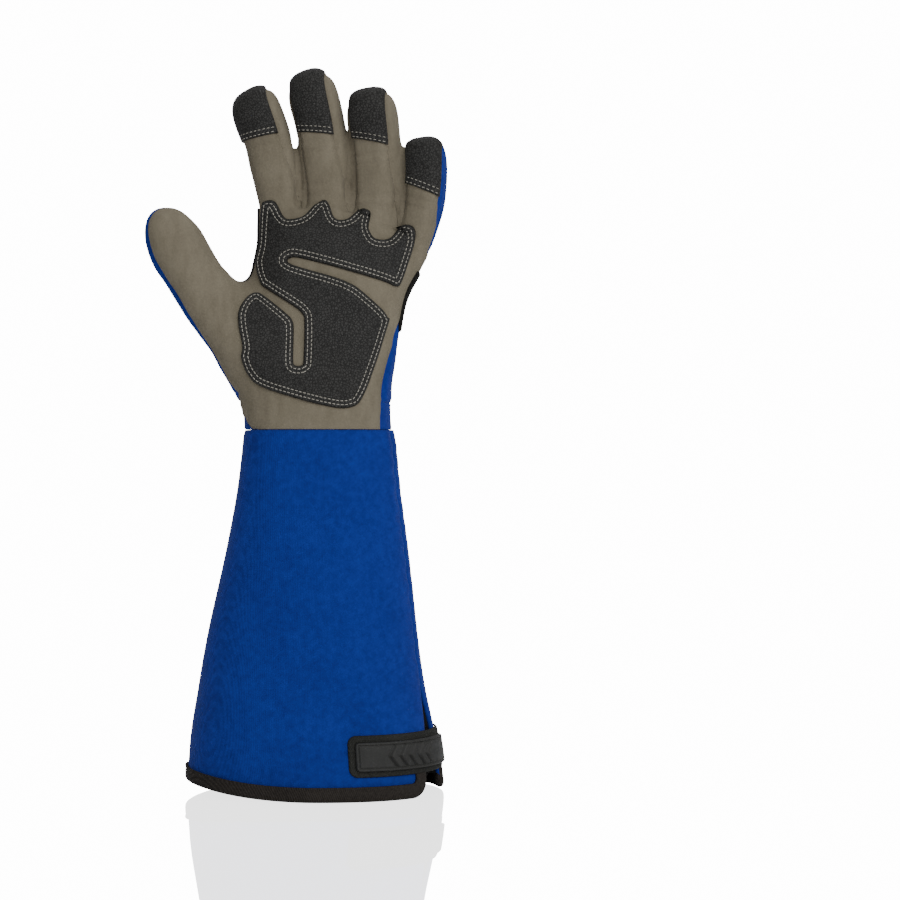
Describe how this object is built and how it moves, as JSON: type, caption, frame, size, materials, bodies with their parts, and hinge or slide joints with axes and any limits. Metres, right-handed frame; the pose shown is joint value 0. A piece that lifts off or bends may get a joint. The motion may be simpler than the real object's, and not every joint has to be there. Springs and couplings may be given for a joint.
{
  "type": "rose pruning gauntlet",
  "caption": "Long-cuffed gardening glove for the left hand: grey palm with black double-stitched pad and fingertip caps, blue back and flared blue cuff with gusset and closing strap.",
  "frame": {"origin": "centre of the cuff's mouth, where the forearm goes in", "axes": "+Z from the cuff's mouth to the fingertips, -Y out of the palm, -X towards the thumb"},
  "size_m": [0.171, 0.103, 0.4109],
  "materials": {
    "panel_grey": "soft suede-like palm leather, matt",
    "cloth_blue": "stretch knit, matt with a soft sheen",
    "leather_black": "grained synthetic leather, matt",
    "band_black": "ribbed stretch fabric, matt",
    "binding_black": "woven binding tape, matt",
    "gusset_black": "stretch fabric, matt",
    "strap_black": "hook-and-loop strap with fabric face, matt",
    "tab_rubber": "moulded rubber, satin"
  },
  "bodies": {
    "root": {"palm_panel": "panel_grey", "back_panel": "cloth_blue", "thumb_back": "cloth_blue", "wrist_band": "cloth_blue", "fourchette_index_middle": "panel_grey", "fourchette_middle_ring": "panel_grey", "fourchette_ring_little": "panel_grey", "palm_pad": "leather_black", "thumb_crotch_patch": "leather_black", "knuckle_band": "band_black", "index_cap": "leather_black", "middle_cap": "leather_black", "ring_cap": "leather_black", "little_cap": "leather_black", "index_patch": "leather_black", "cuff": "cloth_blue", "hem_binding": "binding_black", "vent_gusset": "gusset_black", "strap": "strap_black", "strap_tab": "tab_rubber"}
  },
  "joints": []
}
